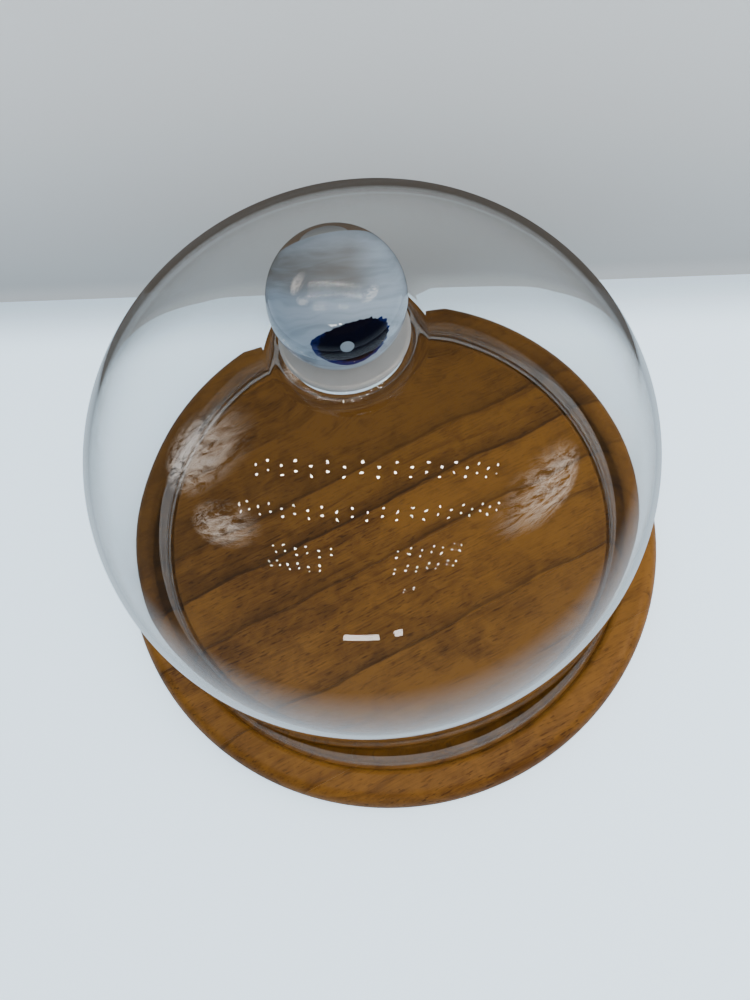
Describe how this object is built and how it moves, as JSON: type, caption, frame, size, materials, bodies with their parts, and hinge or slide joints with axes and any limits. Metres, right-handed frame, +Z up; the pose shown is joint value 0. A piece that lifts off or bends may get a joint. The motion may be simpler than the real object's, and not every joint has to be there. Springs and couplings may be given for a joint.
{
  "type": "cake stand with glass dome",
  "caption": "Round wooden serving board with a channel near its rim, and a clear glass dome that stands in the channel and lifts off by a glass ball knob.",
  "frame": {"origin": "middle of the board's underside, on the surface that the board stands on", "axes": "+Z up along the dome's axis; the knob's inlay faces -Y and the board's staves run 15.5 degrees round from +X towards +Y"},
  "size_m": [0.3, 0.3, 0.2491],
  "materials": {
    "board_wood": "oiled, satin",
    "clear_glass": "clear, fire-polished",
    "milky_glass": "opaque white, polished",
    "white_glass": "opaque white with pale blue swirls, polished",
    "cobalt_glass": "deep blue, polished",
    "dot_glass": "opaque pale, polished"
  },
  "bodies": {
    "board": {"board_stave_1": "board_wood", "board_stave_2": "board_wood", "board_stave_3": "board_wood", "board_stave_4": "board_wood", "board_stave_5": "board_wood", "board_stave_6": "board_wood", "board_stave_7": "board_wood", "board_stave_8": "board_wood"},
    "dome": {"dome_shell": "clear_glass", "knob_foot_disc": "milky_glass", "knob_casing": "clear_glass", "knob_core": "white_glass", "knob_inlay": "cobalt_glass", "knob_dot": "dot_glass"}
  },
  "joints": [
    {"name": "dome_lift", "type": "slide", "parent": "board", "child": "dome", "axis": [0, 0, 1], "range_m": [0, 0.25]}
  ]
}
